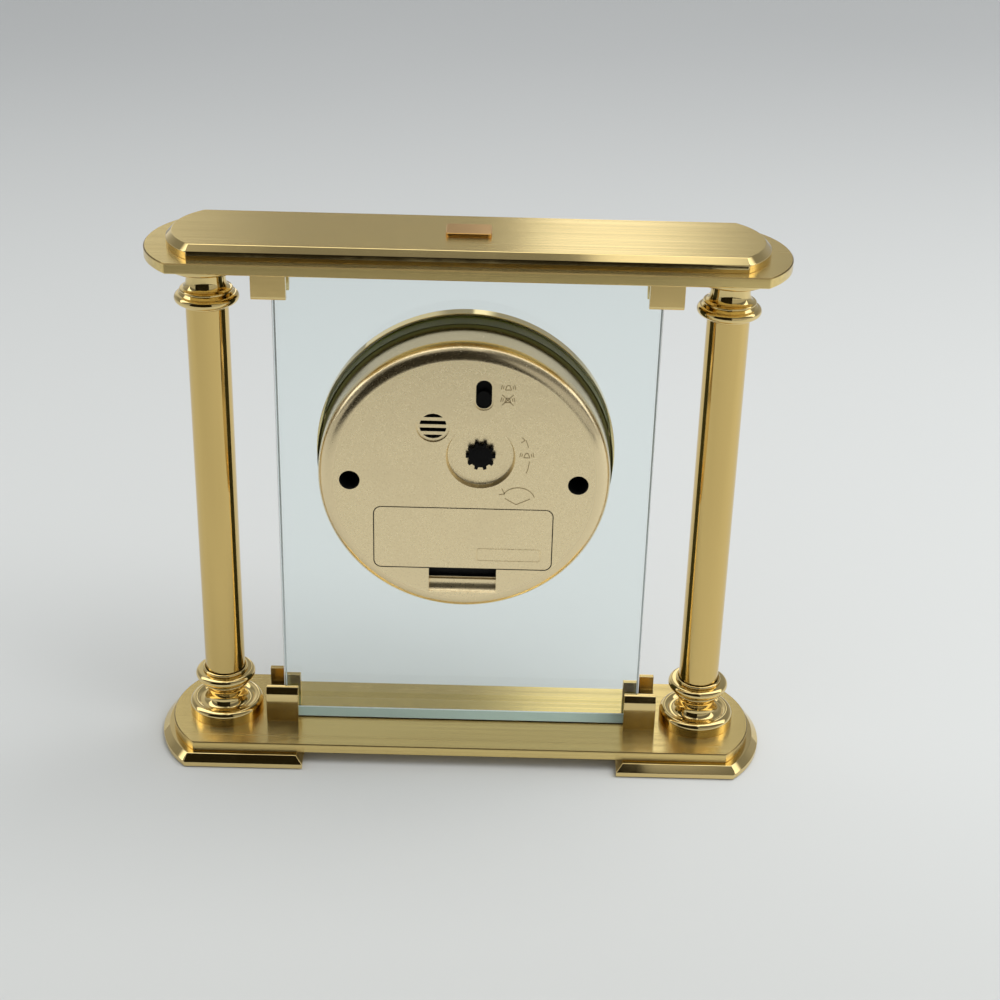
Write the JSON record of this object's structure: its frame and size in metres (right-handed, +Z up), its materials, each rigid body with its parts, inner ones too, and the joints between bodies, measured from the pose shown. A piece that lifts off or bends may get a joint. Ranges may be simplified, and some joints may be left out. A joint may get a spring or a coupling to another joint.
{
  "type": "desk clock",
  "caption": "Free-standing desk clock: a glass panel between turned brass columns carries a round quartz alarm movement.",
  "frame": {"origin": "on the resting surface, midway between the feet", "axes": "+Z up, +X along the clock's width to the right as seen from the dial, +Y towards the back with the setting knob and battery door, so the dial faces -Y"},
  "size_m": [0.197, 0.049, 0.175],
  "materials": {
    "polished_brass": "polished and lacquered",
    "satin_brass": "drawn tube, satin",
    "brushed_brass": "fine brush lines along the length",
    "copper": "polished, copper toned",
    "glass": "polished flat glass with a pale green edge",
    "lens": "clear, gently domed",
    "cover": "moulded, satin champagne-gold metallic coat",
    "black_plastic": "moulded, satin",
    "movement_plastic": "moulded acetal",
    "dial": "matt cream paint",
    "steel": "plain, zinc plated",
    "winding": "enamelled copper wire",
    "board": "solder resist",
    "rubber": "matt, olive grey",
    "felt": "thin self-adhesive felt",
    "cell": "printed sleeve, no words",
    "hand_black": "satin black paint",
    "hand_brass": "plain brass"
  },
  "bodies": {
    "frame": {"foot_left": "polished_brass", "foot_right": "polished_brass", "column_base_left": "polished_brass", "column_base_right": "polished_brass", "column_capital_left": "polished_brass", "column_capital_right": "polished_brass", "glass_clip_bottom_left": "polished_brass", "glass_clip_bottom_right": "polished_brass", "glass_clip_top_left": "polished_brass", "glass_clip_top_right": "polished_brass", "bezel": "polished_brass", "sight_ring": "polished_brass", "column_shaft_left": "satin_brass", "column_shaft_right": "satin_brass", "base_plate": "brushed_brass", "beam_lower_plate": "brushed_brass", "beam_upper_plate": "brushed_brass", "top_plaque": "copper", "glass_panel": "glass", "lens": "lens", "rear_cover": "cover", "buzzer": "black_plastic", "movement_front_plate": "movement_plastic", "movement_middle_plate": "movement_plastic", "movement_rear_plate": "movement_plastic", "dial": "dial", "tie_rod_left": "steel", "tie_rod_right": "steel", "clip_screw_bottom_left": "steel", "clip_screw_bottom_right": "steel", "clip_screw_top_left": "steel", "clip_screw_top_right": "steel", "cover_screw_left": "steel", "cover_screw_right": "steel", "contact_plate": "steel", "contact_leaf": "steel", "stator": "steel", "coil": "winding", "circuit_board": "board", "grip_band": "rubber", "foot_pad_left": "felt", "foot_pad_right": "felt"},
    "minute": {"minute_hand": "hand_black", "cannon_pinion": "steel"},
    "hour": {"hour_hand": "hand_black", "hour_wheel": "movement_plastic"},
    "setting": {"setting_knob": "black_plastic", "motion_wheel": "movement_plastic"},
    "alarm": {"alarm_hand": "hand_brass", "alarm_wheel": "movement_plastic"},
    "alarm_setting": {"alarm_setting_wheel": "movement_plastic"},
    "second": {"second_hand": "hand_black", "second_wheel": "movement_plastic"},
    "third": {"third_wheel": "movement_plastic"},
    "centre": {"centre_wheel": "movement_plastic"},
    "intermediate": {"intermediate_wheel": "movement_plastic"},
    "rotor": {"rotor": "steel"},
    "slider": {"alarm_slider": "black_plastic"},
    "door": {"battery_door": "cover"},
    "battery": {"battery": "cell"}
  },
  "joints": [
    {"name": "minute_turn", "type": "hinge", "parent": "frame", "child": "minute", "pos_m": [0, 0, 0.102], "axis": [0, 1, 0], "continuous": true},
    {"name": "hour_turn", "type": "hinge", "parent": "frame", "child": "hour", "pos_m": [0, 0, 0.102], "axis": [0, 1, 0], "continuous": true},
    {"name": "setting_turn", "type": "hinge", "parent": "frame", "child": "setting", "pos_m": [-0.00485, 0, 0.11065], "axis": [0, 1, 0], "continuous": true},
    {"name": "alarm_turn", "type": "hinge", "parent": "frame", "child": "alarm", "pos_m": [0, 0, 0.102], "axis": [0, 1, 0], "continuous": true},
    {"name": "alarm_setting_turn", "type": "hinge", "parent": "frame", "child": "alarm_setting", "pos_m": [-0.00485, 0, 0.11065], "axis": [0, 1, 0], "continuous": true},
    {"name": "second_turn", "type": "hinge", "parent": "frame", "child": "second", "pos_m": [0, 0, 0.102], "axis": [0, 1, 0], "continuous": true},
    {"name": "third_turn", "type": "hinge", "parent": "frame", "child": "third", "pos_m": [0.0092, 0, 0.102], "axis": [0, 1, 0], "continuous": true},
    {"name": "centre_turn", "type": "hinge", "parent": "frame", "child": "centre", "pos_m": [0, 0, 0.102], "axis": [0, 1, 0], "continuous": true},
    {"name": "intermediate_turn", "type": "hinge", "parent": "frame", "child": "intermediate", "pos_m": [0.0048, 0, 0.11031], "axis": [0, 1, 0], "continuous": true},
    {"name": "rotor_turn", "type": "hinge", "parent": "frame", "child": "rotor", "pos_m": [0.00643, 0, 0.1164], "axis": [0, 1, 0], "continuous": true},
    {"name": "alarm_switch", "type": "slide", "parent": "frame", "child": "slider", "axis": [0, 0, 1], "range_m": [0, 0.0032]},
    {"name": "door_lift_off", "type": "slide", "parent": "frame", "child": "door", "axis": [0, 1, 0], "range_m": [0, 0.06]},
    {"name": "battery_lift_out", "type": "slide", "parent": "frame", "child": "battery", "axis": [0, 1, 0], "range_m": [0, 0.03]}
  ],
  "couplings": [
    {"joint": "hour_turn", "follows": "minute_turn", "ratio": 0.083333},
    {"joint": "setting_turn", "follows": "minute_turn", "ratio": -0.33333},
    {"joint": "alarm_setting_turn", "follows": "alarm_turn", "ratio": -1.8571},
    {"joint": "third_turn", "follows": "second_turn", "ratio": -0.13333},
    {"joint": "centre_turn", "follows": "second_turn", "ratio": 0.016667},
    {"joint": "intermediate_turn", "follows": "second_turn", "ratio": -5},
    {"joint": "rotor_turn", "follows": "second_turn", "ratio": 30},
    {"joint": "battery_lift_out", "follows": "door_lift_off", "ratio": 0.5}
  ]
}
